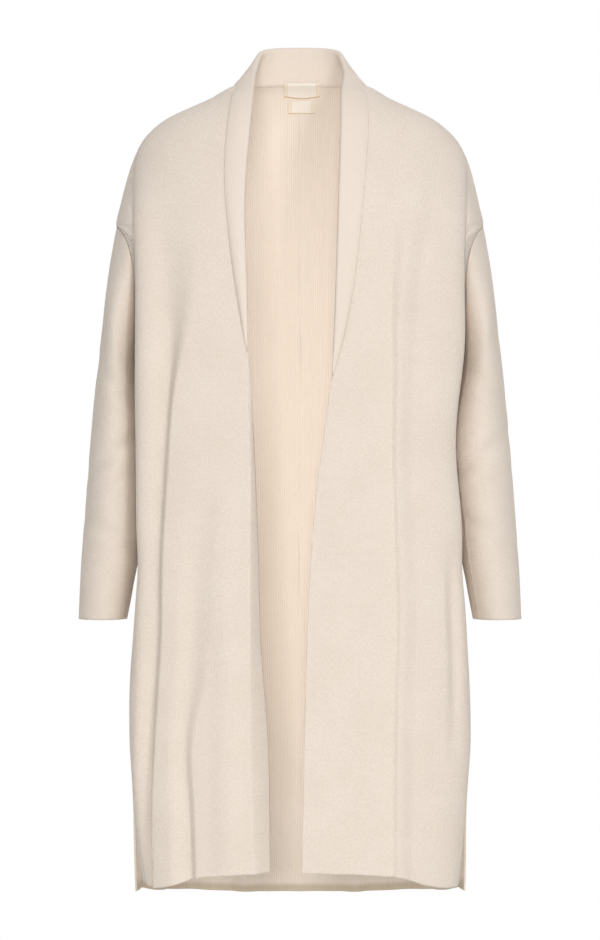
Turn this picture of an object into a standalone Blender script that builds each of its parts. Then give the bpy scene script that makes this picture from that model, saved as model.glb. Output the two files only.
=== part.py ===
"""Waterfall cardigan: a long open-fronted coat in milled cream jersey, worn shape with no wearer.

Two fronts, one back, two long sleeves set on a dropped shoulder, and a shawl collar that stands at
the back of the neck and rolls open into two narrow lapels. Side vents, a back hem longer than the
front, and two bare labels inside the back neck.

Metres, +Z up. The garment faces -Y and the wearer's left is +X. The origin is the middle of the
neck at the height of the shoulders' high points, and heights below it are given as a drop.
"""
import math

import bpy
import numpy as np

COLLECTION = "waterfall_cardigan"

WALL = 0.0022          # thickness of the milled jersey
SEAM_GAP = 0.0003      # between two pieces at a seam
ARMHOLE_GAP = 0.0005   # between sleeve and body, whose walls meet at an angle
COLLAR_GAP = 0.0008    # between the collar's stand and the neck edges, which meet at an angle
SEAM_STRIP = 0.003     # last strip of a panel, square to its seam
LABEL_WALL = 0.0007
LABEL_LIFT = 0.0007    # label off the cloth behind it

ARC_POWER = 2.2        # roundness of the chest and back arcs: 2 is an ellipse
ARC_STEPS = 80         # points of a level's fine line along its arc
BEND_STEPS = 30        # and from its roll to its seam
LEAST_STEP = 0.0002    # between the last point of the arc and the seam
LEAST_BEND = 0.001     # a roll nearer to its seam than this has no bend
LEAST_FLANK = 0.14     # least share of a level that lies behind its roll
TIP_OF_TURN = 0.01     # turns of the ring nearer than this to its top or foot lie on the side seam

# Levels down the body. roll is where the front turns back round the side, side is the shoulder
# crest above the armhole and the side seam below it, depths are from the side seam's plane.
BODY_COLUMNS = ("drop", "roll_x", "roll_y", "side_x", "front", "back")
BODY_LEVELS = (
    (0.000, 0.0780, 0.000, 0.0780, 0.0200, 0.0620),
    (0.008, 0.0950, 0.000, 0.0950, 0.0340, 0.0700),
    (0.018, 0.1110, 0.000, 0.1110, 0.0480, 0.0765),
    (0.030, 0.1370, 0.000, 0.1370, 0.0600, 0.0830),
    (0.045, 0.1670, 0.000, 0.1670, 0.0720, 0.0890),
    (0.062, 0.1885, 0.000, 0.1885, 0.0820, 0.0940),
    (0.080, 0.2015, 0.004, 0.2020, 0.0900, 0.0985),
    (0.100, 0.2065, 0.014, 0.2110, 0.0980, 0.1025),
    (0.125, 0.2065, 0.034, 0.2182, 0.1070, 0.1055),
    (0.150, 0.2055, 0.052, 0.2240, 0.1140, 0.1075),
    (0.180, 0.2045, 0.067, 0.2300, 0.1200, 0.1085),
    (0.222, 0.2024, 0.076, 0.2200, 0.1255, 0.1080),
    (0.300, 0.2022, 0.077, 0.2036, 0.1300, 0.1040),
    (0.350, 0.2022, 0.077, 0.1925, 0.1290, 0.1015),
    (0.450, 0.2022, 0.075, 0.1920, 0.1270, 0.1010),
    (0.550, 0.2010, 0.073, 0.1930, 0.1255, 0.1030),
    (0.600, 0.1995, 0.071, 0.1960, 0.1260, 0.1060),
    (0.650, 0.2030, 0.067, 0.2030, 0.1270, 0.1110),
    (0.710, 0.2068, 0.063, 0.2098, 0.1285, 0.1155),
    (0.770, 0.2093, 0.060, 0.2128, 0.1300, 0.1190),
    (0.820, 0.2093, 0.058, 0.2128, 0.1305, 0.1210),
    (0.900, 0.2060, 0.057, 0.2085, 0.1315, 0.1240),
    (0.990, 0.2045, 0.056, 0.2075, 0.1320, 0.1265),
    (1.030, 0.2035, 0.056, 0.2065, 0.1320, 0.1275),
)
SHOULDER_DROPS = (0.0, 0.008, 0.018, 0.030, 0.045, 0.062, 0.080, 0.100, 0.125, 0.150)
SIDE_DROPS = (0.345, 0.39, 0.45, 0.51, 0.57, 0.62, 0.67, 0.73, 0.79, 0.83, 0.865, 0.90)
HEM_STEPS = 3
NECK_RISE = 0.005      # back neck above the shoulders' high points
NECK_RISE_FADE = 0.03   # drop over which that rise fades

# The left side is pressed in at the waist by its sleeve.
LEFT_PRESS = 0.011
LEFT_PRESS_DROP = 0.45
LEFT_PRESS_SPAN = 0.14

# Armhole ring: an upright oval, its foot nearer the body than its top.
RING_STEPS = 10
RING_MIDDLE = (0.2163, 0.0, -0.240)
RING_HALF_HEIGHT = 0.060
RING_HALF_DEPTH = 0.070
RING_LEAN = 0.0127
RING_CUP_X = 0.009     # front and back of the ring drawn in towards the body
RING_CUP_Z = 0.018

# Side vents: how far each panel's edge stands in from the side line, and off the seam.
VENT_COLUMNS = ("drop", "front_in", "front_off", "back_off")
VENT_LEVELS = (
    (0.820, 0.0000, 0.000, 0.000),
    (0.860, 0.0008, 0.004, 0.002),
    (0.925, 0.0035, 0.012, 0.005),
    (0.970, 0.0065, 0.020, 0.007),
    (1.030, 0.0125, 0.028, 0.009),
)

# Hem drops across each panel, from the middle out, and the level whose form each hem takes.
FRONT_HEM = ((0.00, 0.970), (0.10, 0.975), (0.125, 0.978), (0.15, 0.987), (0.175, 0.993), (0.21, 0.994))
BACK_HEM = ((0.00, 1.0258), (0.06, 1.0250), (0.12, 1.0215), (0.17, 1.0140), (0.21, 1.0065))
FRONT_HEM_LEVEL = 0.978
BACK_HEM_LEVEL = 1.025

# Shawl lapels, from the break up: distance from the middle of the roll line and the free edge,
# and how far the neck seam lies behind the roll.
LAPEL_COLUMNS = ("drop", "roll", "edge", "seam_back")
RIGHT_LAPEL = (
    (0.338, 0.0638, 0.0664, 0.0050),
    (0.300, 0.0638, 0.0705, 0.0065),
    (0.250, 0.0650, 0.0791, 0.0070),
    (0.200, 0.0670, 0.0855, 0.0080),
    (0.150, 0.0675, 0.0905, 0.0085),
    (0.100, 0.0647, 0.0917, 0.0090),
    (0.050, 0.0606, 0.0877, 0.0100),
    (0.020, 0.0582, 0.0841, 0.0130),
)
LEFT_LAPEL = (
    (0.368, 0.0393, 0.0419, 0.0050),
    (0.335, 0.0407, 0.0493, 0.0065),
    (0.300, 0.0424, 0.0574, 0.0070),
    (0.250, 0.0440, 0.0661, 0.0080),
    (0.200, 0.0459, 0.0717, 0.0090),
    (0.150, 0.0473, 0.0770, 0.0100),
    (0.100, 0.0491, 0.0809, 0.0120),
    (0.050, 0.0506, 0.0840, 0.0150),
    (0.020, 0.0511, 0.0823, 0.0190),
)
BREAK_STEP = 0.006      # from the break down to the first row of the plain front edge
BREAK_CLEAR = 0.009     # no other row of the front comes this near to those two
NECK_SIDE_X = 0.0760   # front neck edge at the shoulder seam

# Collar round the neck, from the front of the shoulder to the middle of the back. Columns: a place
# on the neck oval (degrees from the shoulder), x, y, z of the roll, and x, y, z of the free edge.
COLLAR_STATIONS = (
    (0.0, 0.0555, 0.0050, 0.0150, 0.0838, 0.0030, 0.0048),
    (22.0, 0.0524, 0.0280, 0.0335, 0.0790, 0.0288, 0.0003),
    (45.0, 0.0478, 0.0460, 0.0462, 0.0655, 0.0515, -0.0012),
    (65.0, 0.0340, 0.0590, 0.0510, 0.0455, 0.0665, -0.0025),
    (80.0, 0.0165, 0.0645, 0.0525, 0.0205, 0.0735, -0.0030),
    (90.0, 0.0000, 0.0655, 0.0528, 0.0000, 0.0745, -0.0030),
)
COLLAR_TURN = 0.0027   # radius of the roll, to the middle of the cloth
TIP_TURN = 0.00125     # and at the tip of each lapel, where it is pressed flat
TIP_LENGTH = 0.060     # length of lapel over which it flattens
LAPEL_LIFT = 0.0012    # free edge off the front that it lies on
FALL_BULGE = 0.0022    # roundness of the fall between the roll and the free edge
SHOULDER_LIFT = 0.0034  # more of it where the collar comes over the shoulder
SHOULDER_LIFT_DROP = 0.10
# Between the last lapel row and the neck: share of the way there, and drop of the seam.
SHOULDER_STATIONS = ((0.35, 0.013), (0.65, 0.007), (0.85, 0.003), (0.93, 0.0))
COLLAR_ROWS = 30
STAND_STEPS = 2
TURN_STEPS = 4
FALL_STEPS = 4

TURN_POWER = 1.6       # how quickly the turned-back edge leaves its ridge
# Front edges below the break: the right front turns back behind its ridge, the left hangs plain.
EDGE_COLUMNS = ("drop", "edge", "ridge", "turned")
RIGHT_EDGE = (
    (0.338, 0.0627, 0.0700, 0.0000),
    (0.434, 0.0568, 0.0615, 0.0050),
    (0.590, 0.0510, 0.0611, 0.0100),
    (0.690, 0.0484, 0.0611, 0.0120),
    (0.810, 0.0399, 0.0611, 0.0160),
    (0.990, 0.0372, 0.0556, 0.0150),
)
LEFT_EDGE = (
    (0.368, 0.0382, 0.0470, 0.0),
    (0.430, 0.0306, 0.0400, 0.0),
    (0.495, 0.0213, 0.0310, 0.0),
    (0.573, 0.0144, 0.0240, 0.0),
    (0.660, 0.0097, 0.0190, 0.0),
    (0.825, 0.0051, 0.0150, 0.0),
    (0.990, 0.0019, 0.0120, 0.0),
)

# Folds. Columns: drops and distances from the middle along the fold, depth inwards (less than 0 is
# a roll outwards), half width, and the drop from which it has its full depth down to the hem.
RIGHT_GROOVE = ((0.16, 0.170), (0.22, 0.160), (0.28, 0.153), (0.35, 0.155), (0.41, 0.161),
                (0.49, 0.167), (0.59, 0.1735), (0.69, 0.175), (0.81, 0.1805), (0.90, 0.185), (1.0, 0.183))
LEFT_CREASE = ((0.14, 0.140), (0.20, 0.130), (0.28, 0.1215), (0.37, 0.1195), (0.46, 0.118),
               (0.555, 0.121), (0.66, 0.1235), (0.76, 0.121), (0.87, 0.1194), (1.0, 0.1194))
FRONT_FOLDS = {
    "front_right": (
        (RIGHT_GROOVE, 0.0095, 0.014, 0.34),
        (((0.60, 0.128), (0.80, 0.121), (0.90, 0.136), (1.0, 0.139)), 0.0040, 0.020, 0.68),
        (((0.40, 0.100), (0.80, 0.094), (1.0, 0.092)), -0.0025, 0.022, 0.62),
    ),
    "front_left": (
        (LEFT_CREASE, 0.0045, 0.012, 0.30),
        (((0.30, 0.160), (0.70, 0.165), (1.0, 0.160)), -0.0030, 0.024, 0.55),
        (((0.55, 0.066), (1.0, 0.060)), 0.0030, 0.022, 0.75),
    ),
}
BACK_FOLDS = (
    (((0.40, 0.060), (0.70, 0.068), (1.03, 0.074)), 0.0055, 0.024, 0.66),
    (((0.40, 0.125), (0.70, 0.135), (1.03, 0.140)), -0.0045, 0.026, 0.62),
    (((0.10, 0.120), (0.25, 0.160), (0.40, 0.178)), 0.0035, 0.018, 0.16),
)
FOLD_FADE = 0.14       # drop over which a fold rises to its full depth

# Sleeves: outer and inner side and half depth at each level, down to the cuff.
SLEEVE_COLUMNS = ("drop", "outer", "inner", "depth")
SLEEVE_LEVELS = (
    (0.180, 0.2300, 0.2040, 0.0700),
    (0.220, 0.2369, 0.2040, 0.0710),
    (0.270, 0.2431, 0.2085, 0.0715),
    (0.300, 0.2462, 0.2085, 0.0710),
    (0.350, 0.2520, 0.2055, 0.0700),
    (0.400, 0.2575, 0.2000, 0.0685),
    (0.450, 0.2619, 0.1970, 0.0655),
    (0.500, 0.2660, 0.1975, 0.0620),
    (0.550, 0.2697, 0.1985, 0.0580),
    (0.595, 0.2731, 0.2020, 0.0540),
    (0.620, 0.2745, 0.2070, 0.0520),
    (0.645, 0.2756, 0.2115, 0.0505),
    (0.668, 0.2766, 0.2160, 0.0490),
)
CUFF_DROP = 0.668
SLEEVE_ROWS = 16
RING_FADE = 0.22       # share of the sleeve's length over which the ring's form fades
# Creases that run round a sleeve. Columns: drop, slope across the front, depth, half width.
SLEEVE_CREASES = ((0.462, -0.9, 0.0035, 0.022), (0.560, 0.7, 0.0025, 0.020), (0.375, 0.8, 0.0025, 0.022))
CREASE_REACH = 0.028    # drop from the middle of a sloping crease to its end at the side
CREASE_AT_SIDE = 0.35   # share of a crease's depth at the sides of the sleeve
CREASE_FREE_TOP = 0.2   # share of the sleeve's length at its top that has no crease
CREASE_FREE_CUFF = 0.1

# Columns of faces: between a front's edge, ridge, fold and roll; over half the back, between the
# shares of its arc; and behind the roll of either.
FRONT_COUNTS = (2, 5, 1, 1, 2)
BACK_COUNTS = (3, 3, 3, 2)
BACK_SHARES = (0, 0.25, 0.55, 0.78)
FLANK_COUNT = 4

# Labels inside the back neck. Columns: middle across, drop of the top, width, height, and how far
# the lower edge sags in its middle.
LABELS = {
    "label_main": (0.0025, -0.0030, 0.045, 0.0150, 0.0016),
    "label_small": (0.0020, 0.0165, 0.034, 0.0120, 0.0),
}
LABEL_PROBE = 0.002     # step over which the slope of the cloth behind a label is read
LABEL_ACROSS = 8
LABEL_DOWN = 3

CREAM = (0.80, 0.71, 0.60)
CREAM_COLLAR = (0.82, 0.74, 0.63)
LABEL_CREAM = (0.87, 0.76, 0.60)
JERSEY_ROUGHNESS = 0.92
SATIN_ROUGHNESS = 0.55


def curve(keys, values, at):
    """Smooth curve through the key points: cubics whose slopes come from the neighbouring points."""
    keys = np.asarray(keys, dtype=float)
    values = np.asarray(values, dtype=float)
    slopes = np.gradient(values, keys)
    at = np.clip(at, keys[0], keys[-1])
    i = np.clip(np.searchsorted(keys, at, side="right") - 1, 0, len(keys) - 2)
    span = keys[i + 1] - keys[i]
    t = (at - keys[i]) / span
    start = values[i] * (1 + 2 * t) * (1 - t) ** 2 + slopes[i] * span * t * (1 - t) ** 2
    end = values[i + 1] * (3 - 2 * t) * t ** 2 + slopes[i + 1] * span * (t - 1) * t ** 2
    return start + end


def column(table, columns, name, at):
    """One named column of a table of levels, read at any drop."""
    rows = np.array(sorted(table))
    return curve(rows[:, columns.index("drop")], rows[:, columns.index(name)], at)


def body(name, drop):
    return column(BODY_LEVELS, BODY_COLUMNS, name, drop)


def ease(t):
    """Rises smoothly from 0 to 1 as t goes from 0 to 1."""
    t = np.clip(t, 0, 1)
    return t * t * (3 - 2 * t)


def hump(offset, half_width):
    """Round hump, 1 at its middle and 0 from its half width out."""
    q = np.clip(np.abs(offset) / half_width, 0, 1)
    return (1 + np.cos(math.pi * q)) / 2


def spread(keys, counts):
    """Places from the first key to the last, each span cut into its count of equal steps."""
    steps = [np.linspace(a, b, n, endpoint=False) for a, b, n in zip(keys[:-1], keys[1:], counts)]
    return np.append(np.concatenate(steps), keys[-1])


def ring(turn):
    """Armhole ring on the +X side: turn 0 is its top, a quarter turn its front, half its foot."""
    x = RING_MIDDLE[0] + RING_LEAN * np.cos(turn) - RING_CUP_X * np.sin(turn) ** 2
    y = -RING_HALF_DEPTH * np.sin(turn)
    z = RING_MIDDLE[2] + RING_HALF_HEIGHT * np.cos(turn) + RING_CUP_Z * np.sin(turn) ** 2
    return np.stack(np.broadcast_arrays(x, y, z), axis=-1)


def side_press(side, drop):
    """How far the sleeve presses this side of the body in."""
    press = LEFT_PRESS if side > 0 else 0.0
    return press * hump(drop - LEFT_PRESS_DROP, LEFT_PRESS_SPAN)


def front_start(side, drop):
    """Where a front's inner edge lies: on the neck seam above the break, on the free edge below."""
    lapel = RIGHT_LAPEL if side < 0 else LEFT_LAPEL
    edge = RIGHT_EDGE if side < 0 else LEFT_EDGE
    top = lapel[-1]
    seam = column(lapel, LAPEL_COLUMNS, "roll", drop) + column(lapel, LAPEL_COLUMNS, "seam_back", drop)
    if drop < top[0]:
        return NECK_SIDE_X + (top[1] + top[3] - NECK_SIDE_X) * ease(drop / top[0])
    return seam if drop <= lapel[0][0] + BREAK_STEP / 2 else column(edge, EDGE_COLUMNS, "edge", drop)


def level_form(side, face, drop):
    """Roll point, depth and seam point of one level on one side; face is -1 in front, 1 behind."""
    vent_in = column(VENT_LEVELS, VENT_COLUMNS, "front_in", drop) if face < 0 else 0.0
    press = side_press(side, drop)
    roll = (body("roll_x", drop) - press - vent_in, body("roll_y", drop))
    depth = body("front" if face < 0 else "back", drop)
    off = column(VENT_LEVELS, VENT_COLUMNS, "front_off" if face < 0 else "back_off", drop)
    seam = (body("side_x", drop) - press - vent_in, SEAM_GAP / 2 + off)
    return roll, depth, seam


def level_line(side, face, drop, start, seam=None):
    """Fine line along one level, as x and y sizes: an arc to the roll, then a bend to the seam."""
    roll, depth, side_seam = level_form(side, face, drop)
    square = 0.0 if seam is not None else SEAM_STRIP
    seam = side_seam if seam is None else seam
    first = math.asin(min(start / roll[0], 1.0) ** (ARC_POWER / 2))
    turn = np.linspace(first, math.pi / 2, ARC_STEPS)
    arc_x = roll[0] * np.sin(turn) ** (2 / ARC_POWER)
    arc_y = roll[1] + (depth - roll[1]) * np.abs(np.cos(turn)) ** (2 / ARC_POWER)
    bend = np.linspace(0, 1, BEND_STEPS)
    flank_end = seam[1] + square
    keep = arc_y > flank_end + LEAST_STEP
    flank_x = roll[0] + (seam[0] - roll[0]) * (1 - np.cos(math.pi * bend)) / 2
    flank_y = roll[1] + (flank_end - roll[1]) * bend
    if roll[1] <= flank_end + LEAST_BEND:
        flank_x, flank_y = np.array([seam[0]]), np.array([flank_end])
    x = np.concatenate([arc_x[keep], flank_x])
    y = np.concatenate([arc_y[keep], flank_y])
    if square:
        x = np.append(x, seam[0])
        y = np.append(y, seam[1])
    return x, y, arc_x[keep].max()


def fold_push(folds, x, drop):
    """How far the folds push the cloth in at each point of a level."""
    push = np.zeros_like(x)
    for path, depth, half_width, from_drop in folds:
        keys = np.array(path)
        middle = curve(keys[:, 0], keys[:, 1], drop)
        push += depth * ease((drop - from_drop + FOLD_FADE) / FOLD_FADE) * hump(x - middle, half_width)
    return push


def level_points(side, face, drop, start, shares, counts, folds, seam):
    """One row of a panel: the level's line cut at its shares and pushed by its folds."""
    x, y, roll_x = level_line(side, face, drop, start, seam)
    length = np.append(0, np.cumsum(np.hypot(np.diff(x), np.diff(y))))
    square = length[-1] - SEAM_STRIP
    roll_at = min(length[np.argmax(x >= roll_x)], square * (1 - LEAST_FLANK))
    keys = [share * roll_at for share in shares] + [roll_at, square]
    at = np.append(spread(keys, counts + (FLANK_COUNT,)), length[-1])
    px = np.interp(at, length, x)
    py = np.interp(at, length, y)
    slope_x = np.gradient(px, at)
    slope_y = np.gradient(py, at)
    size = np.hypot(slope_x, slope_y)
    push = fold_push(folds, px, drop)
    push[-2:] = 0.0
    return px + push * slope_y / size, py - push * slope_x / size


def cloth(name, points, material, outward, around=False, thickness=WALL, offset=-1.0):
    """Wall of cloth on a grid of points (rows, columns, xyz); outward is the mean way out."""
    rows, columns = points.shape[:2]
    spans = columns if around else columns - 1
    r, c = np.meshgrid(np.arange(rows - 1), np.arange(spans), indexing="ij")
    d = (c + 1) % columns
    quads = np.stack([r * columns + c, r * columns + d, (r + 1) * columns + d, (r + 1) * columns + c], -1)
    quads = quads.reshape(-1, 4)
    flat = points.reshape(-1, 3)
    middle = quads[len(quads) // 2]
    normal = np.cross(flat[middle[1]] - flat[middle[0]], flat[middle[3]] - flat[middle[0]])
    if np.dot(normal, outward(flat[middle].mean(axis=0))) < 0:
        quads = quads[:, ::-1]
    mesh = bpy.data.meshes.new(name)
    mesh.from_pydata(flat.tolist(), [], quads.tolist())
    mesh.shade_smooth()
    mesh.materials.append(material)
    piece = bpy.data.objects.new(name, mesh)
    bpy.data.collections[COLLECTION].objects.link(piece)
    wall = piece.modifiers.new("wall", "SOLIDIFY")
    wall.thickness = thickness
    wall.offset = offset
    return piece


def paint(name, colour, roughness):
    material = bpy.data.materials.new(name)
    material.use_nodes = True
    shader = material.node_tree.nodes["Principled BSDF"]
    shader.inputs["Base Color"].default_value = (*colour, 1.0)
    shader.inputs["Roughness"].default_value = roughness
    shader.inputs["Metallic"].default_value = 0.0
    return material


def panel_levels(hem_level, breaks=()):
    """Rows of a body panel: drop, turn of the armhole ring or None, and share of the way to the hem."""
    rows = [(drop, None, 0.0) for drop in SHOULDER_DROPS]
    for turn in np.linspace(0, math.pi, RING_STEPS + 1):
        rows.append((-ring(turn)[2], turn, 0.0))
    clear = [d for d in SIDE_DROPS if all(abs(d - b) > BREAK_CLEAR for b in breaks)]
    rows += [(drop, None, 0.0) for drop in sorted(clear + list(breaks))]
    last = SIDE_DROPS[-1]
    shares = [step / HEM_STEPS for step in range(1, HEM_STEPS + 1)]
    return rows + [(last + (hem_level - last) * share, None, share) for share in shares]


def panel_row(side, face, drop, turn, start, shares, counts, folds):
    """One row of a panel, whose seam lies on the armhole ring where the row meets it."""
    seam = None
    if turn is not None and TIP_OF_TURN < turn < math.pi - TIP_OF_TURN:
        point = ring(turn)
        seam = (point[0], -point[1])
    return level_points(side, face, drop, start, shares, counts, folds, seam)


def row_heights(x, drop, share, hem):
    """Heights along a row: level down to the last side drop, then closing in on the hem line."""
    if share == 0:
        return np.full_like(x, -drop)
    keys = np.array(hem)
    last = SIDE_DROPS[-1]
    return -last - (np.interp(x, keys[:, 0], keys[:, 1]) - last) * share


def front_panel(side):
    name = "front_right" if side < 0 else "front_left"
    folds = FRONT_FOLDS[name]
    edge = RIGHT_EDGE if side < 0 else LEFT_EDGE
    path = np.array(RIGHT_GROOVE if side < 0 else LEFT_CREASE)
    width = folds[0][2]
    break_drop = edge[0][0]
    rows = []
    for drop, turn, hem_share in panel_levels(FRONT_HEM_LEVEL, (break_drop, break_drop + BREAK_STEP)):
        start = front_start(side, drop)
        low = max(drop, path[0, 0])
        low_start = front_start(side, low)
        fold = curve(path[:, 0], path[:, 1], low)
        ridge_drop = max(drop, break_drop)
        ridge = column(edge, EDGE_COLUMNS, "ridge", ridge_drop)
        ridge_width = ridge - column(edge, EDGE_COLUMNS, "edge", ridge_drop)
        span = level_form(side, -1, low)[0][0] - low_start
        shares = [0, ridge_width / span] + [(fold + w - low_start) / span for w in (-width, 0, width)]
        px, py = panel_row(side, -1, drop, turn, start, shares, FRONT_COUNTS, folds)
        turned = column(edge, EDGE_COLUMNS, "turned", ridge_drop) if drop > break_drop else 0.0
        py = py - turned * np.clip(1 - (px - start) / ridge_width, 0, 1) ** TURN_POWER
        rows.append(np.stack([side * px, -py, row_heights(px, drop, hem_share, FRONT_HEM)], axis=-1))
    return cloth(name, np.array(rows), bpy.data.materials["milled_jersey"], lambda p: (p[0], p[1], 0))


def back_panel():
    """The whole back, from the right seam across to the left."""
    rows = []
    for drop, turn, hem_share in panel_levels(BACK_HEM_LEVEL):
        halves = []
        for side in (-1, 1):
            px, py = panel_row(side, 1, drop, turn, 0.0, BACK_SHARES, BACK_COUNTS, BACK_FOLDS)
            rise = NECK_RISE * (1 - ease(drop / NECK_RISE_FADE))
            z = row_heights(px, drop, hem_share, BACK_HEM) + rise * np.clip(1 - (px / px[-1]) ** 2, 0, 1)
            halves.append(np.stack([side * px, py, z], axis=-1))
        rows.append(np.concatenate([halves[0][:0:-1], halves[1]]))
    return cloth("back", np.array(rows), bpy.data.materials["milled_jersey"], lambda p: (p[0], p[1], 0))


def sleeve(side):
    """Tube from the armhole ring to the open cuff, with soft creases round the elbow."""
    turns = np.linspace(0, 2 * math.pi, 2 * RING_STEPS, endpoint=False)
    top = ring(turns) + ARMHOLE_GAP * np.array((0.6, 0.0, -0.8))
    rows = []

    def oval(z):
        drop = -z
        press = side_press(side, drop)
        outer = column(SLEEVE_LEVELS, SLEEVE_COLUMNS, "outer", drop)
        inner = column(SLEEVE_LEVELS, SLEEVE_COLUMNS, "inner", drop) - press
        depth = column(SLEEVE_LEVELS, SLEEVE_COLUMNS, "depth", drop)
        x = (outer + inner) / 2 + (outer - inner) / 2 * np.cos(turns)
        return np.stack([x, -depth * np.sin(turns), z], axis=-1)

    for share in np.linspace(0, 1, SLEEVE_ROWS + 1):
        z = top[:, 2] + (-CUFF_DROP - top[:, 2]) * share
        points = oval(z) + (1 - ease(share / RING_FADE)) * (top - oval(top[:, 2]))
        push = np.zeros_like(z)
        for drop, slope, depth, half_width in SLEEVE_CREASES:
            line = drop + slope * side * CREASE_REACH * np.cos(turns)
            strength = CREASE_AT_SIDE + (1 - CREASE_AT_SIDE) * np.abs(np.sin(turns))
            push += depth * hump(-z - line, half_width) * strength
        push *= ease(share / CREASE_FREE_TOP - 1) * ease((1 - share) / CREASE_FREE_CUFF)
        middle = points.mean(axis=0)
        inward = middle - points
        inward[:, 2] = 0
        points = points + push[:, None] * inward / np.linalg.norm(inward, axis=1)[:, None]
        points[:, 0] *= side
        rows.append(points)
    name = "sleeve_right" if side < 0 else "sleeve_left"
    centre = np.array(rows).mean(axis=(0, 1))
    return cloth(name, np.array(rows), bpy.data.materials["milled_jersey"],
                 lambda p: (p[0] - centre[0], p[1] - centre[1], 0), around=True)


def front_surface(side, drop, x):
    """Depth of a front's outer face at a distance from the middle, above the folds."""
    roll, depth, _seam = level_form(side, -1, drop)
    return roll[1] + (depth - roll[1]) * np.clip(1 - (x / roll[0]) ** ARC_POWER, 0, 1) ** (1 / ARC_POWER)


def collar_lines(side):
    """The collar's neck seam, roll and free edge: matching points from the break to the back.

    The last two lists are how far each roll stands proud of the cloth that its stand carries on,
    and the radius of the turn there.
    """
    lapel = RIGHT_LAPEL if side < 0 else LEFT_LAPEL
    seams, rolls, edges, prouds, turns = [], [], [], [], []
    for drop, roll, edge, seam_back in lapel:
        seam = roll + seam_back
        radius = TIP_TURN + (COLLAR_TURN - TIP_TURN) * ease((lapel[0][0] - drop) / TIP_LENGTH)
        proud = radius - WALL / 2
        lift = LAPEL_LIFT + SHOULDER_LIFT * ease((SHOULDER_LIFT_DROP - drop) / SHOULDER_LIFT_DROP)
        seams.append((seam, -front_surface(side, drop, seam), -drop))
        rolls.append((roll, -front_surface(side, drop, roll) - proud, -drop))
        edges.append((edge, -front_surface(side, drop, edge) - lift - WALL / 2, -drop))
        prouds.append(proud)
        turns.append(radius)
    last_roll, last_edge = np.array(rolls[-1]), np.array(edges[-1])
    next_roll, next_edge = np.array(COLLAR_STATIONS[0][1:4]), np.array(COLLAR_STATIONS[0][4:7])
    for share, drop in SHOULDER_STATIONS:
        seam = front_start(side, drop)
        seams.append((seam, -front_surface(side, drop, seam), -drop))
        rolls.append(last_roll + (next_roll - last_roll) * share)
        edges.append(last_edge + (next_edge - last_edge) * share)
        prouds.append(proud * (1 - share))
        turns.append(COLLAR_TURN)
    for turn, roll_x, roll_y, roll_z, edge_x, edge_y, edge_z in COLLAR_STATIONS:
        angle = math.radians(turn)
        power = 2 / ARC_POWER
        across = body("side_x", 0.0) * math.cos(angle) ** power if turn < 90 else 0.0
        deep = body("back", 0.0) * math.sin(angle) ** power
        rise = NECK_RISE * (1 - (across / body("side_x", 0.0)) ** 2)
        seams.append((across, deep, rise))
        rolls.append((roll_x, roll_y, roll_z))
        edges.append((edge_x, edge_y, edge_z))
        prouds.append(0.0)
        turns.append(COLLAR_TURN)
    return np.array(seams), np.array(rolls), np.array(edges), np.array(prouds), np.array(turns)


def resample(points, at):
    keys = np.linspace(0, 1, len(points))
    return np.stack([curve(keys, points[:, i], at) for i in range(3)], axis=-1)


def collar_half(side):
    """Hairpin of cloth: up from the neck seam, over the roll, and down to the free edge."""
    seams, rolls, edges, prouds, turns = collar_lines(side)
    lengths = np.append(0, np.cumsum(np.linalg.norm(np.diff(rolls, axis=0), axis=1)))
    wanted = np.linspace(0, 1, COLLAR_ROWS + 1)
    even = np.interp(wanted, lengths / lengths[-1], np.linspace(0, 1, len(rolls)))
    at = 0.5 * wanted + 0.5 * even
    seam, roll, edge = (resample(line, at) for line in (seams, rolls, edges))
    keys = np.linspace(0, 1, len(prouds))
    proud = np.interp(at, keys, prouds)
    radius = curve(keys, turns, at)[:, None]
    along = np.gradient(roll, axis=0)
    along /= np.linalg.norm(along, axis=1)[:, None]
    rise = roll - seam
    rise[:, 1] += proud
    rise -= (rise * along).sum(axis=1)[:, None] * along
    rise /= np.linalg.norm(rise, axis=1)[:, None]
    out = np.cross(rise, along)
    out *= np.sign(out[-1, 1])
    foot = seam + COLLAR_GAP * rise - WALL / 2 * out
    turn_middle = roll - radius * rise
    columns = []
    for step in range(STAND_STEPS):
        share = step / STAND_STEPS
        columns.append(foot + (turn_middle - radius * out - foot) * share)
    for step in range(TURN_STEPS + 1):
        angle = -math.pi / 2 + math.pi * step / TURN_STEPS
        columns.append(turn_middle + radius * (math.cos(angle) * rise + math.sin(angle) * out))
    crown = columns[-1]
    for step in range(1, FALL_STEPS + 1):
        share = step / FALL_STEPS
        columns.append(crown + (edge - crown) * share + FALL_BULGE * math.sin(math.pi * share) * out)
    points = np.stack(columns, axis=1)
    points[:, :, 0] = np.maximum(points[:, :, 0], SEAM_GAP / 2)
    points[-1, :, 0] = SEAM_GAP / 2
    points[:, :, 0] *= side
    name = "collar_right" if side < 0 else "collar_left"
    return cloth(name, points, bpy.data.materials["collar_jersey"], lambda p: (0, 0, 1), offset=0.0)


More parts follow.
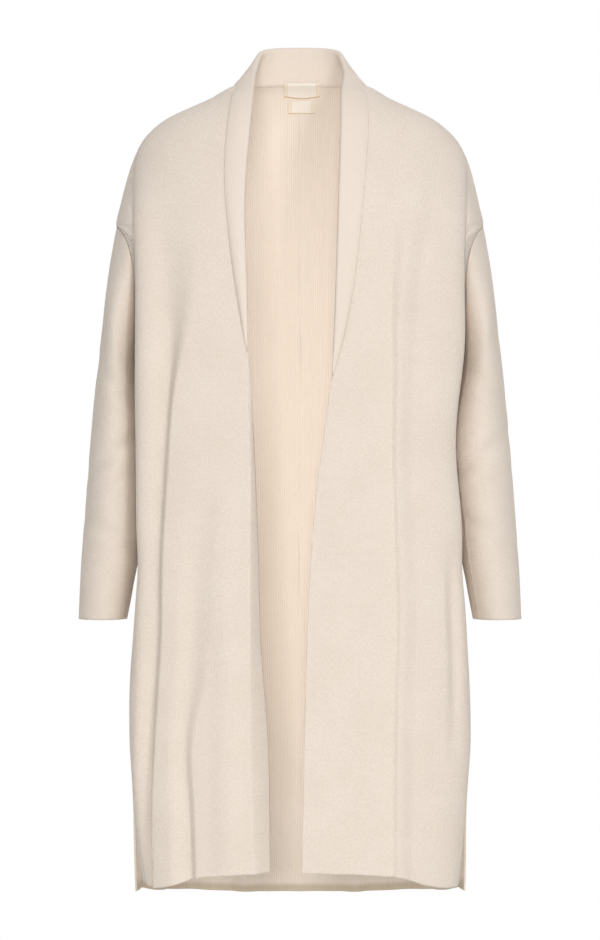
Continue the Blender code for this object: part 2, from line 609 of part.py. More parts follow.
def label(name):
    """Bare woven label, curved with the back neck, on its inner face."""
    middle, top, width, height, sag = LABELS[name]
    across = np.linspace(-width / 2, width / 2, LABEL_ACROSS + 1)
    rows = []
    for share in np.linspace(0, 1, LABEL_DOWN + 1):
        x = middle + across
        drop = np.full_like(x, top + height * share) + sag * share * hump(across, width / 2)
        level = np.maximum(drop, 0.0)
        depth = body("back", level)
        wide = body("side_x", level)
        y = depth * (1 - (np.abs(x) / wide) ** ARC_POWER) ** (1 / ARC_POWER)
        slope = (body("back", level + LABEL_PROBE) - depth) / LABEL_PROBE
        y = y - (WALL + LABEL_LIFT) * np.sqrt(1 + slope ** 2)
        rows.append(np.stack([x, y, -drop + NECK_RISE * (1 - ease(level / NECK_RISE_FADE))], axis=-1))
    return cloth(name, np.array(rows), bpy.data.materials["woven_label"], lambda p: (0, 1, 0),
                 thickness=LABEL_WALL)


def main():
    for leftover in list(bpy.data.objects):
        bpy.data.objects.remove(leftover, do_unlink=True)
    group = bpy.data.collections.new(COLLECTION)
    bpy.context.scene.collection.children.link(group)
    paint("milled_jersey", CREAM, JERSEY_ROUGHNESS)
    paint("collar_jersey", CREAM_COLLAR, JERSEY_ROUGHNESS)
    paint("woven_label", LABEL_CREAM, SATIN_ROUGHNESS)
    back_panel()
    for side in (-1, 1):
        front_panel(side)
        sleeve(side)
        collar_half(side)
    for name in LABELS:
        label(name)


main()
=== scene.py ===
import math

import bpy
import numpy as np
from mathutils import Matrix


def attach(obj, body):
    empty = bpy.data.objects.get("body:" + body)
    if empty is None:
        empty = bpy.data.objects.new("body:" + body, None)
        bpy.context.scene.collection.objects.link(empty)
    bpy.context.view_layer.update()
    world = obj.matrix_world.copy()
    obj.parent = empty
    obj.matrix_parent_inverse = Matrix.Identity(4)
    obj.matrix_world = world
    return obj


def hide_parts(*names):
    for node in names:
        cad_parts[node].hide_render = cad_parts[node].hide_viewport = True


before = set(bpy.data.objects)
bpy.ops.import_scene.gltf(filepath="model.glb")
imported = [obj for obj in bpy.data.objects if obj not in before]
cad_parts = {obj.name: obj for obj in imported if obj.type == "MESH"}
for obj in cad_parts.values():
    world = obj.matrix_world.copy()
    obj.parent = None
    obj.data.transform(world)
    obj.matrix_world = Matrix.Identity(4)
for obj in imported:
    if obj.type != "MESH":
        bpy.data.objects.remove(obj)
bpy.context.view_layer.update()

# THE CLOTH AND THE BACK
# The cardigan is cut from one cream wool jersey, knitted fine, then milled so that the right side
# felts into a soft matt nap while the wrong side keeps its fine ribs. The back is one panel, from
# the neck seam to a hem that dips below the fronts, and its sides hang free in two vents.

CLOTH = 0.0022         # thickness of the milled jersey
JERSEY_LIGHT = "#efe4d8"
JERSEY_MID = "#e1d2c3"
RIB_LIGHT = "#f6ebdf"
RIB_DARK = "#eaddcf"
# painted shade of the turned-up hem
HEM_SHADE = "#d0c2ae"
MATT = 0.9             # roughness and sheen of wool
WOOL_SHEEN = 0.12
WALE_MM = 2.0          # stitch columns and rows of the right side, coarser than real so that they show
COURSE_MM = 1.6
RIB_MM = 2.8           # ribs of the wrong side
FASHION_MM = 3.0       # slanting ribs along the armhole, and their angle
SLANT = 0.6
DRIFT_MM = 60          # blotches of the colour's drift, of the pile and of its single fibres
PILE_MM = 3.2
FIBRE_MM = 1.3

# Levels down the body: drop from the shoulders' high points, the roll where a panel turns round the
# side, the crest or side seam, and the depth of the chest and of the back.
BODY_COLUMNS = ("drop", "roll_x", "roll_y", "side_x", "front", "back")
BODY_LEVELS = (
    (0.000, 0.0780, 0.000, 0.0780, 0.0200, 0.0620),
    (0.008, 0.0950, 0.000, 0.0950, 0.0340, 0.0700),
    (0.018, 0.1110, 0.000, 0.1110, 0.0480, 0.0765),
    (0.030, 0.1370, 0.000, 0.1370, 0.0600, 0.0830),
    (0.045, 0.1670, 0.000, 0.1670, 0.0720, 0.0890),
    (0.062, 0.1885, 0.000, 0.1885, 0.0820, 0.0940),
    (0.080, 0.2015, 0.004, 0.2020, 0.0900, 0.0985),
    (0.100, 0.2065, 0.014, 0.2110, 0.0980, 0.1025),
    (0.125, 0.2065, 0.034, 0.2182, 0.1070, 0.1055),
    (0.150, 0.2055, 0.052, 0.2240, 0.1140, 0.1075),
    (0.180, 0.2045, 0.067, 0.2300, 0.1200, 0.1085),
    (0.222, 0.2024, 0.076, 0.2200, 0.1255, 0.1080),
    (0.300, 0.2022, 0.077, 0.2036, 0.1300, 0.1040),
    (0.350, 0.2022, 0.077, 0.1925, 0.1290, 0.1015),
    (0.450, 0.2022, 0.075, 0.1920, 0.1270, 0.1010),
    (0.550, 0.2010, 0.073, 0.1930, 0.1255, 0.1030),
    (0.600, 0.1995, 0.071, 0.1960, 0.1260, 0.1060),
    (0.650, 0.2030, 0.067, 0.2030, 0.1270, 0.1110),
    (0.710, 0.2068, 0.063, 0.2098, 0.1285, 0.1155),
    (0.770, 0.2093, 0.060, 0.2128, 0.1300, 0.1190),
    (0.820, 0.2093, 0.058, 0.2128, 0.1305, 0.1210),
    (0.900, 0.2060, 0.057, 0.2085, 0.1315, 0.1240),
    (0.990, 0.2045, 0.056, 0.2075, 0.1320, 0.1265),
    (1.030, 0.2035, 0.056, 0.2065, 0.1320, 0.1275),
)
ARC_POWER = 2.2        # roundness of the chest and back arcs: 2 is an ellipse
ARC_STEPS = 240        # points of a level's fine line along its arc, and from its roll to its seam
BEND_STEPS = 60
LEAST_STEP = 0.0002    # between the last point of the arc and the seam
LEAST_BEND = 0.001     # a roll nearer to its seam than this has no bend
SEAM_OFF = 0.0001      # half the hair's breadth between two panels at a seam
FULL_TOP = 0.090       # the panel fills out above the armhole: drops, ring turn and fullness
FULL_SPAN = 0.080
FULL_FOOT = 0.180
FULL_TURN = 1.15
FULL_POWER = 0.65
NECK_RISE = 0.005      # back neck above the shoulders' high points, and the drop over which it fades
NECK_RISE_FADE = 0.03
LEFT_PRESS = 0.011     # the left sleeve presses the body in: depth, drop and half height
LEFT_PRESS_DROP = 0.45
LEFT_PRESS_SPAN = 0.14

# Side vents: how far each panel's edge stands in from the side line, and off the seam.
VENT_COLUMNS = ("drop", "front_in", "front_off", "back_off")
VENT_LEVELS = (
    (0.820, 0.0000, 0.000, 0.000),
    (0.860, 0.0008, 0.004, 0.002),
    (0.925, 0.0035, 0.012, 0.005),
    (0.970, 0.0085, 0.020, 0.007),
    (1.030, 0.0200, 0.028, 0.009),
)

# Armhole ring: its middle, its half height and depth, its lean, and the cup of its front and back,
# which are drawn in towards the body and up.
RING_MIDDLE = (0.2163, 0.0, -0.240)
RING_HALF_HEIGHT = 0.060
RING_HALF_DEPTH = 0.070
RING_LEAN = 0.0127
RING_CUP_X = 0.009
RING_CUP_Z = 0.018

# Hem drops across the panel, from the middle out.
BACK_HEM = (
    (0.00, 1.0258),
    (0.06, 1.0250),
    (0.12, 1.0224),
    (0.17, 1.0188),
    (0.192, 1.0168),
    (0.2016, 1.0130),
    (0.21, 1.0080),
)
HEM_START = 0.90       # levels below this are stretched to meet the hem line

# Each fold is a row of stations: drop, distance from the middle, depth inwards (a ridge where it is
# negative), and how far it spreads towards the middle and towards the side.
BACK_FOLDS = (
    ((0.50, 0.062, 0.0, 0.026, 0.022),
     (0.66, 0.066, 0.0070, 0.026, 0.022),
     (0.80, 0.064, 0.0075, 0.024, 0.018),
     (1.03, 0.074, 0.0090, 0.024, 0.016)),
    ((0.46, 0.125, 0.0, 0.026, 0.026),
     (0.62, 0.131, -0.0045, 0.026, 0.026),
     (0.85, 0.138, -0.0055, 0.026, 0.026),
     (1.03, 0.137, -0.0055, 0.026, 0.026)),
    ((0.06, 0.100, 0.0, 0.018, 0.018),
     (0.14, 0.140, 0.0040, 0.018, 0.018),
     (0.22, 0.163, 0.0045, 0.018, 0.018),
     (0.40, 0.178, 0.0, 0.018, 0.018)),
    ((0.60, 0.168, 0.0, 0.012, 0.018),
     (0.76, 0.175, 0.0045, 0.011, 0.018),
     (1.03, 0.180, 0.0055, 0.010, 0.018)),
    ((0.60, 0.020, 0.0, 0.030, 0.030),
     (0.82, 0.012, -0.0030, 0.030, 0.030),
     (1.03, 0.016, -0.0035, 0.030, 0.030)),
)
UNEVEN = 0.0006        # soft unevenness of the hanging cloth
SEAM_DIP = 0.0004      # cloth pulled in along a sewn seam
SEAM_WIDTH = 0.006
EDGE_STEP = 0.0009     # last strip of a panel along its edges
ROW_STEP = 0.0054      # between two rows of a panel
RING_ROWS = 72         # rows over the armhole, with those at its top and foot
SHOULDER_ROWS = (0.0, 0.0008, 0.002, 0.004)
ABOVE_RING = (0.0065, 0.1785)    # drops of the even rows above the armhole, and of the first below
BELOW_RING = 0.301
HALF_BACK_COUNT = 96   # points across half the back
BACK_LAST = 1.02       # level that the back's hem takes its form from
FASHION_REACH = 0.008  # slanting ribs are full this near to the armhole, then fade
FASHION_FADE = 0.010
HEM_TURN = 0.010       # height of the turned-up hem's strip of painted shade, and the softness of its edge
HEM_FADE = 0.002


def curve(keys, values, at):
    """Smooth curve through the key points: cubics whose slopes come from the neighbouring points."""
    keys = np.asarray(keys, dtype=float)
    values = np.asarray(values, dtype=float)
    slopes = np.gradient(values, keys)
    at = np.clip(at, keys[0], keys[-1])
    i = np.clip(np.searchsorted(keys, at, side="right") - 1, 0, len(keys) - 2)
    span = keys[i + 1] - keys[i]
    t = (at - keys[i]) / span
    start = values[i] * (1 + 2 * t) * (1 - t) ** 2 + slopes[i] * span * t * (1 - t) ** 2
    end = values[i + 1] * (3 - 2 * t) * t ** 2 + slopes[i + 1] * span * (t - 1) * t ** 2
    return start + end


def column(table, columns, name, at):
    """One named column of a table of levels, read at any drop."""
    rows = np.array(sorted(table))
    return curve(rows[:, 0], rows[:, columns.index(name)], at)


def body(name, drop):
    """One column of the body's levels at any drop."""
    return column(BODY_LEVELS, BODY_COLUMNS, name, drop)


def ease(t):
    """Rises smoothly from 0 to 1 as t goes from 0 to 1."""
    t = np.clip(t, 0, 1)
    return t * t * (3 - 2 * t)


def hump(offset, inner, outer):
    """Round hump, 1 at its middle and 0 from its half widths out; the two sides may differ."""
    q = np.clip(np.abs(offset) / np.where(offset < 0, inner, outer), 0, 1)
    return (1 + np.cos(math.pi * q)) / 2


def ring(turn):
    """Armhole ring on the +X side: turn 0 is its top, a quarter turn its front, half its foot."""
    x = RING_MIDDLE[0] + RING_LEAN * np.cos(turn) - RING_CUP_X * np.sin(turn) ** 2
    y = -RING_HALF_DEPTH * np.sin(turn)
    z = RING_MIDDLE[2] + RING_HALF_HEIGHT * np.cos(turn) + RING_CUP_Z * np.sin(turn) ** 2
    return np.stack(np.broadcast_arrays(x, y, z), axis=-1)


def side_press(side, drop):
    """How far the sleeve presses this side of the body in."""
    press = LEFT_PRESS if side > 0 else 0.0
    return press * hump(drop - LEFT_PRESS_DROP, LEFT_PRESS_SPAN, LEFT_PRESS_SPAN)


def level_form(side, face, drop):
    """Roll point, depth and seam point of one level on one side; face is -1 in front, 1 behind."""
    vent_in = column(VENT_LEVELS, VENT_COLUMNS, "front_in", drop) if face < 0 else 0.0
    press = side_press(side, drop)
    roll = (body("roll_x", drop) - press - vent_in, body("roll_y", drop))
    off = column(VENT_LEVELS, VENT_COLUMNS, "front_off" if face < 0 else "back_off", drop)
    seam = (body("side_x", drop) - press - vent_in, off + SEAM_OFF)
    return roll, body("front" if face < 0 else "back", drop), seam


def level_line(side, face, drop, start, turn):
    """Fine line along one level: an arc from the start to the roll, then a bend to the seam.

    The arc is a quarter of a superellipse: x = X sin(t)^(2/n) and y = Y + (D - Y) cos(t)^(2/n),
    with the roll at X, Y and the depth D. The bend's x eases from the roll to the seam, and
    sooner where the panel is full.
    """
    roll, depth, seam = level_form(side, face, drop)
    if turn is not None:
        point = ring(turn)
        seam = (point[0], abs(point[1]) + SEAM_OFF)
    first = math.asin(min(start / roll[0], 1.0) ** (ARC_POWER / 2))
    sweep = np.linspace(first, math.pi / 2, ARC_STEPS)
    x = roll[0] * np.sin(sweep) ** (2 / ARC_POWER)
    y = roll[1] + (depth - roll[1]) * np.abs(np.cos(sweep)) ** (2 / ARC_POWER)
    keep = y > seam[1] + LEAST_STEP
    bend = np.linspace(0, 1, BEND_STEPS)
    if turn is None:
        full = ease((drop - FULL_TOP) / FULL_SPAN) if drop < FULL_FOOT else 0.0
    else:
        full = 1 - ease(turn / FULL_TURN)
    slack = (1 - np.cos(math.pi * bend)) / 2
    share = (1 - full) * slack + full * np.sin(math.pi / 2 * bend) ** FULL_POWER
    flank_x = roll[0] + (seam[0] - roll[0]) * share
    flank_y = roll[1] + (seam[1] - roll[1]) * bend
    if roll[1] <= seam[1] + LEAST_BEND:
        flank_x, flank_y = np.array([seam[0]]), np.array([seam[1]])
    return np.concatenate([x[keep], flank_x]), np.concatenate([y[keep], flank_y])


def body_levels(last):
    """Drops and armhole turns of a panel's rows, a step apart and closer at the shoulder seam."""
    turns = np.linspace(0, math.pi, RING_ROWS)
    on_ring = [(-ring(t)[2], t) for t in turns[1:-1]]
    above = list(SHOULDER_ROWS) + list(np.arange(*ABOVE_RING, ROW_STEP))
    below = list(np.arange(BELOW_RING, last, ROW_STEP))
    return [(d, None) for d in above] + on_ring + [(d, None) for d in below + [last]]


def folded(folds, x, drop):
    """How far the folds push the cloth in at each point of a level."""
    push = np.zeros_like(x)
    for fold in folds:
        keys = np.array(fold)
        if keys[0, 0] < drop:
            middle, depth, inner, outer = (curve(keys[:, 0], keys[:, i], drop) for i in range(1, 5))
            push += depth * hump(x - middle, inner, outer)
    return push


def uneven(side, x, drop):
    """Soft unevenness of hanging cloth: two crossed sine waves, different on the two sides."""
    return UNEVEN * np.sin(52 * x + 11 * drop + side) * np.sin(23 * drop + 17 * side * x)


def half_level(side, face, drop, turn, start, count, folds, shape=None):
    """One row of half a panel: even steps along its level, pushed in by its folds.

    Returns x and y of its points, and their distances along the level from the middle and from
    the seam.
    """
    x, y = level_line(side, face, drop, start, turn)
    length = np.append(0, np.cumsum(np.hypot(np.diff(x), np.diff(y))))
    edge = min(EDGE_STEP, length[-1] / 8)
    at = np.concatenate([[0, edge], np.linspace(edge, length[-1] - edge, count - 3)[1:-1],
                         [length[-1] - edge, length[-1]]])
    px = np.interp(at, length, x)
    py = np.interp(at, length, y)
    slope_x = np.gradient(px, at)
    slope_y = np.gradient(py, at)
    size = np.hypot(slope_x, slope_y)
    push = folded(folds, px, drop)
    push += uneven(side, px, drop)
    if shape is not None:
        push += shape(at, drop)
    push += SEAM_DIP * hump(length[-1] - at, SEAM_WIDTH, SEAM_WIDTH) * (drop < VENT_LEVELS[0][0])
    return px + push * slope_y / size, py - push * slope_x / size, start + at, length[-1] - at


def stretch_to_hem(drop, x, hem, last):
    """Drops of the points of a level once the levels below the start are stretched to the hem."""
    keys = np.array(hem)
    line = curve(keys[:, 0], keys[:, 1], np.abs(x))
    share = np.clip((drop - HEM_START) / (last - HEM_START), 0, 1)
    return drop + (line - last) * share


def linear(colour):
    """Linear RGBA of an sRGB hex colour."""
    parts = [int(colour[i:i + 2], 16) / 255 for i in (1, 3, 5)]
    return tuple(p / 12.92 if p <= 0.04045 else ((p + 0.055) / 1.055) ** 2.4 for p in parts) + (1.0,)


def add(tree, kind, values=None, links=None, **settings):
    """Adds a node with its settings, the values of its sockets, and the links that feed it."""
    node = tree.nodes.new(kind)
    for name, value in settings.items():
        setattr(node, name, value)
    for name, value in (values or {}).items():
        node.inputs[name].default_value = value
    for name, source in (links or {}).items():
        tree.links.new(source, node.inputs[name])
    return node


def finish_for(name, roughness, sheen):
    """A new material with a Principled shader, its node tree, and its UV coordinates in metres."""
    material = bpy.data.materials.new(name)
    material.use_nodes = True
    tree = material.node_tree
    shader = tree.nodes["Principled BSDF"]
    shader.inputs["Roughness"].default_value = roughness
    shader.inputs["Sheen Weight"].default_value = sheen
    shader.inputs["Sheen Roughness"].default_value = 0.5
    shader.inputs["Specular IOR Level"].default_value = 0.25
    place = add(tree, "ShaderNodeUVMap", uv_map="cloth")
    return material, tree, shader, place.outputs["UV"]


def wave(tree, uv, pitch_mm, direction, distortion=0.0):
    """Sine bands across the cloth with a pitch in millimetres."""
    scale = 2 * math.pi / (20 * pitch_mm / 1000)
    values = {"Scale": scale, "Distortion": distortion, "Detail": 1.0, "Detail Scale": 0.6}
    return add(tree, "ShaderNodeTexWave", values, {"Vector": uv}, bands_direction=direction).outputs["Fac"]


def noise(tree, uv, size_mm, detail=2.0, roughness=0.5):
    """Soft noise whose blotches are about that many millimetres across."""
    values = {"Scale": 1000 / size_mm, "Detail": detail, "Roughness": roughness}
    return add(tree, "ShaderNodeTexNoise", values, {"Vector": uv}).outputs["Fac"]


def mixed(tree, share, first, second):
    """Blend of two colours by a share; each is a colour or the output of another node."""
    node = add(tree, "ShaderNodeMix", data_type="RGBA")
    tree.links.new(share, node.inputs["Factor"])
    for socket, colour in ((node.inputs[6], first), (node.inputs[7], second)):
        if isinstance(colour, tuple):
            socket.default_value = colour
        else:
            tree.links.new(colour, socket)
    return node.outputs[2]


def total(tree, parts):
    """Weighted sum of several heights."""
    result = None
    for weight, part in parts:
        node = add(tree, "ShaderNodeMath", {1: weight}, {0: part}, operation="MULTIPLY_ADD")
        if result is not None:
            tree.links.new(result, node.inputs[2])
        else:
            node.inputs[2].default_value = 0.0
        result = node.outputs[0]
    return result


def product(tree, first, second):
    """One height times another."""
    return add(tree, "ShaderNodeMath", links={0: first, 1: second}, operation="MULTIPLY").outputs[0]


def marked(tree, name):
    """A share that the piece carries at its points under that name."""
    return add(tree, "ShaderNodeAttribute", attribute_name=name).outputs["Fac"]


def ranged(tree, source, low, high, new_low=0.0, new_high=1.0):
    """A value stretched from one range to another, and held at its ends."""
    values = {"From Min": low, "From Max": high, "To Min": new_low, "To Max": new_high}
    return add(tree, "ShaderNodeMapRange", values, {"Value": source}).outputs["Result"]


def bump(tree, shader, height, distance):
    """Relief of the finish: a height in shares of a distance in metres."""
    node = add(tree, "ShaderNodeBump", {"Strength": 1.0, "Distance": distance}, {"Height": height})
    tree.links.new(node.outputs["Normal"], shader.inputs["Normal"])


# Milled wool jersey, right side: stitches half buried under a short nap, so it is matt, and its
# colour drifts softly where the nap lies thicker. Along the armholes the stitches were moved over
# to narrow the panel, which leaves short slanting ribs.
milled_jersey, tree, shader, uv = finish_for("milled wool jersey", MATT, WOOL_SHEEN)
drift = noise(tree, uv, DRIFT_MM)
pile = noise(tree, uv, PILE_MM, 3.0, 0.65)
fibre = noise(tree, uv, FIBRE_MM, 3.0, 0.65)
blend = total(tree, ((0.14, drift), (0.38, pile), (0.48, fibre)))
tone = mixed(tree, ranged(tree, blend, 0.36, 0.64), linear(JERSEY_MID), linear(JERSEY_LIGHT))
tree.links.new(tone, shader.inputs["Base Color"])
wales = wave(tree, uv, WALE_MM, "X", 0.9)
courses = wave(tree, uv, COURSE_MM, "Y", 1.4)
stitches = total(tree, ((0.6, wales), (0.4, courses)))
slant = add(tree, "ShaderNodeVectorRotate", {"Angle": SLANT}, {"Vector": uv}, rotation_type="Z_AXIS")
slanted = wave(tree, slant.outputs["Vector"], FASHION_MM, "Y")
ribs = product(tree, slanted, marked(tree, "fashioning"))
bump(tree, shader, total(tree, ((0.35, stitches), (1.1, fibre), (0.8, pile), (2.6, ribs))), 0.0007)

# The same jersey, wrong side: fine upright ribs with a little painted shade in their grooves, and the hem
# turned up once, drawn as a narrow strip darkened with painted shade.
ribbed_jersey, tree, shader, uv = finish_for("wrong side of the jersey, fine ribs", MATT, WOOL_SHEEN)
ribs = wave(tree, uv, RIB_MM, "X", 0.15)
fibre = noise(tree, uv, FIBRE_MM, 3.0, 0.65)
drift = noise(tree, uv, DRIFT_MM)
blend = total(tree, ((0.40, ribs), (0.45, fibre), (0.15, drift)))
tone = mixed(tree, ranged(tree, blend, 0.2, 0.85), linear(RIB_DARK), linear(RIB_LIGHT))
# painted shade: the turned-up hem is drawn as a darker strip
tone = mixed(tree, marked(tree, "hem_shade"), tone, linear(HEM_SHADE))
tree.links.new(tone, shader.inputs["Base Color"])
bump(tree, shader, total(tree, ((0.7, ribs), (0.9, fibre))), 0.0004)


def normals_of(grid, around=False):
    """Unit normals of a grid: the cross product of its slopes along rows and columns."""
    if around:
        across = np.roll(grid, -1, axis=1) - np.roll(grid, 1, axis=1)
    else:
        across = np.gradient(grid, axis=1)
    normal = np.cross(across, np.gradient(grid, axis=0))
    return normal / np.maximum(np.linalg.norm(normal, axis=-1, keepdims=True), 1e-12)


def mesh_of(name, points, quads, materials, slots, smooth):
    """A new object from points and quads, wound so that its closed surface faces outwards."""
    a, b, c, d = (points[quads[:, i]] for i in range(4))
    volume = np.einsum("ij,ij->", a, np.cross(b, c)) + np.einsum("ij,ij->", a, np.cross(c, d))
    if volume < 0:
        quads = quads[:, ::-1]
    mesh = bpy.data.meshes.new(name)
    mesh.vertices.add(len(points))
    mesh.vertices.foreach_set("co", points.astype(np.float32).ravel())
    mesh.loops.add(quads.size)
    mesh.loops.foreach_set("vertex_index", quads.astype(np.int32).ravel())
    mesh.polygons.add(len(quads))
    mesh.polygons.foreach_set("loop_start", np.arange(0, quads.size, 4, dtype=np.int32))
    mesh.update(calc_edges=True)
    for material in materials:
        mesh.materials.append(material)
    mesh.polygons.foreach_set("material_index", slots.astype(np.int32))
    mesh.polygons.foreach_set("use_smooth", smooth)
    piece = bpy.data.objects.new(name, mesh)
    bpy.context.scene.collection.objects.link(piece)
    return piece, quads


def shell(name, grid, uv, materials, out, around=False, thick=CLOTH, middle=False, marks=None):
    """A wall of cloth on a grid (rows, columns, xyz): outer face, inner face and the rims between.

    out is a direction that the outer face looks along at the grid's middle. The inner face lies
    the cloth's thickness behind the outer one, along the grid's normals; with middle, the grid is
    the middle of the wall. Marks are named shares from 0 to 1 at the grid's points.
    """
    rows, columns = grid.shape[:2]
    normal = normals_of(grid, around)
    if np.dot(normal[rows // 2, columns // 2], out) < 0:
        normal = -normal
    depth = np.broadcast_to(np.asarray(thick, dtype=float), (rows, columns))[..., None]
    lift = depth / 2 if middle else 0.0
    points = np.concatenate([(grid + normal * lift).reshape(-1, 3),
                             (grid + normal * (lift - depth)).reshape(-1, 3)])
    outer = np.arange(rows * columns).reshape(rows, columns)
    inner = outer + rows * columns
    if around:
        outer, inner = (np.concatenate([a, a[:, :1]], axis=1) for a in (outer, inner))

    def faces(a):
        """Quads of one face of the wall."""
        return np.stack([a[:-1, :-1], a[:-1, 1:], a[1:, 1:], a[1:, :-1]], axis=-1).reshape(-1, 4)

    def rim(a, b):
        """Quads between the two faces along one edge."""
        return np.stack([a[:-1], a[1:], b[1:], b[:-1]], axis=-1)

    rims = [rim(outer[0], inner[0])[:, ::-1], rim(outer[-1], inner[-1])]
    if not around:
        rims += [rim(outer[:, 0], inner[:, 0]), rim(outer[:, -1], inner[:, -1])[:, ::-1]]
    front, behind = faces(outer), faces(inner)[:, ::-1]
    quads = np.concatenate([front, behind] + rims)
    slots = np.zeros(len(quads))
    slots[len(front): len(front) + len(behind)] = len(materials) - 1
    smooth = np.arange(len(quads)) < len(front) + len(behind)
    piece, quads = mesh_of(name, points, quads, materials, slots, smooth)
    place = np.concatenate([uv.reshape(-1, 2)] * 2)
    layer = piece.data.uv_layers.new(name="cloth")
    layer.data.foreach_set("uv", place[quads.ravel()].astype(np.float32).ravel())
    for mark, share in (marks or {}).items():
        values = np.concatenate([np.broadcast_to(share, (rows, columns)).ravel()] * 2)
        layer = piece.data.attributes.new(mark, "FLOAT", "POINT")
        layer.data.foreach_set("value", values.astype(np.float32))
    return piece


def worn(piece, node):
    """The piece rides with the garment and stands for its node."""
    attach(piece, "root")
    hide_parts(node)


def seam_marks(levels, rest):
    """Share of the slanting ribs: full close to the armhole, then fading."""
    on_ring = np.array([turn is not None for _drop, turn in levels])[:, None]
    return on_ring * (1 - ease((rest - FASHION_REACH) / FASHION_FADE))


def back_grid(levels, last):
    """Both halves of every level, joined at the middle: points, cloth places, distance to the seam."""
    rows, places, rests = [], [], []
    for drop, turn in levels:
        halves = []
        for side in (-1, 1):
            px, py, along, rest = half_level(side, 1, drop, turn, 0.0, HALF_BACK_COUNT, BACK_FOLDS)
            z = -stretch_to_hem(drop, px, BACK_HEM, last)
            rise = NECK_RISE * (1 - ease(drop / NECK_RISE_FADE))
            z = z + rise * np.clip(1 - (px / px[-1]) ** 2, 0, 1)
            halves.append((np.stack([side * px, py, z], -1), np.stack([side * along, z], -1), rest))
        rows.append(np.concatenate([halves[0][0][:0:-1], halves[1][0]]))
        places.append(np.concatenate([halves[0][1][:0:-1], halves[1][1]]))
        rests.append(np.concatenate([halves[0][2][:0:-1], halves[1][2]]))
    return np.array(rows), np.array(places), np.array(rests)


levels = body_levels(BACK_LAST)
grid, places, rests = back_grid(levels, BACK_LAST)
# painted shade along the turned-up hem: its share, from the hem up
above_hem = grid[..., 2] - grid[-1, :, 2]
strip = 1 - ease((above_hem - HEM_TURN) / HEM_FADE)
back = shell("back_cloth", grid, places, (milled_jersey, ribbed_jersey), (0, 1, 0),
             marks={"fashioning": seam_marks(levels, rests), "hem_shade": strip})
worn(back, "back")

# THE FRONTS
# Two panels of the same jersey from the shoulder seam to a hem that rises towards the opening.
# Their inner edges carry the collar down to the break and hang free below it: the right front
# turns back behind its own ridge, and one deep fold runs down beside the side seam.

# Hem drops across a panel, from the middle out.
FRONT_HEM = ((0.00, 0.970), (0.10, 0.975), (0.125, 0.978), (0.15, 0.987), (0.175, 0.993), (0.21, 0.994))
FRONT_LAST = 0.978     # level that the fronts' hems take their form from
FRONT_COUNT = 164      # points across a front

# Lapels from the break up to the neck: drop, distance of the roll and of the free edge from the
# middle, and how far the neck seam lies behind the roll.
LAPEL_COLUMNS = ("drop", "roll", "edge", "seam_back")
RIGHT_LAPEL = (
    (0.339, 0.0632, 0.0641, 0.0006),
    (0.320, 0.0637, 0.0681, 0.0045),
    (0.300, 0.0638, 0.0711, 0.0062),
    (0.250, 0.0650, 0.0791, 0.0070),
    (0.200, 0.0670, 0.0855, 0.0080),
    (0.150, 0.0675, 0.0905, 0.0085),
    (0.100, 0.0647, 0.0917, 0.0090),
    (0.050, 0.0606, 0.0877, 0.0100),
    (0.020, 0.0582, 0.0841, 0.0130),
)
LEFT_LAPEL = (
    (0.369, 0.0387, 0.0396, 0.0006),
    (0.350, 0.0398, 0.0452, 0.0045),
    (0.335, 0.0407, 0.0493, 0.0062),
    (0.300, 0.0424, 0.0574, 0.0070),
    (0.250, 0.0443, 0.0661, 0.0080),
    (0.200, 0.0459, 0.0717, 0.0090),
    (0.150, 0.0473, 0.0770, 0.0100),
    (0.100, 0.0491, 0.0809, 0.0120),
    (0.050, 0.0506, 0.0840, 0.0150),
    (0.020, 0.0511, 0.0823, 0.0190),
)
NECK_SIDE_X = 0.0760
BREAK_FADE = 0.004     # from the end of the neck seam to the plain free edge

# Free edges below the break: drop, the edge, the ridge that it turns in at, and how far it turns in.
EDGE_COLUMNS = ("drop", "edge", "ridge", "turned")
RIGHT_EDGE = (
    (0.338, 0.0627, 0.0700, 0.0000),
    (0.434, 0.0568, 0.0615, 0.0070),
    (0.590, 0.0510, 0.0611, 0.0150),
    (0.690, 0.0484, 0.0611, 0.0180),
    (0.810, 0.0399, 0.0611, 0.0230),
    (0.990, 0.0372, 0.0556, 0.0210),
)
LEFT_EDGE = (
    (0.368, 0.0382, 0.0470, 0.0),
    (0.430, 0.0306, 0.0400, 0.0),
    (0.495, 0.0213, 0.0310, 0.0),
    (0.573, 0.0144, 0.0240, 0.0),
    (0.660, 0.0097, 0.0190, 0.0),
    (0.825, 0.0051, 0.0150, 0.0),
    (0.990, 0.0019, 0.0120, 0.0),
)
TURN_POWER = 1.2       # how quickly the turned-in edge leaves its ridge

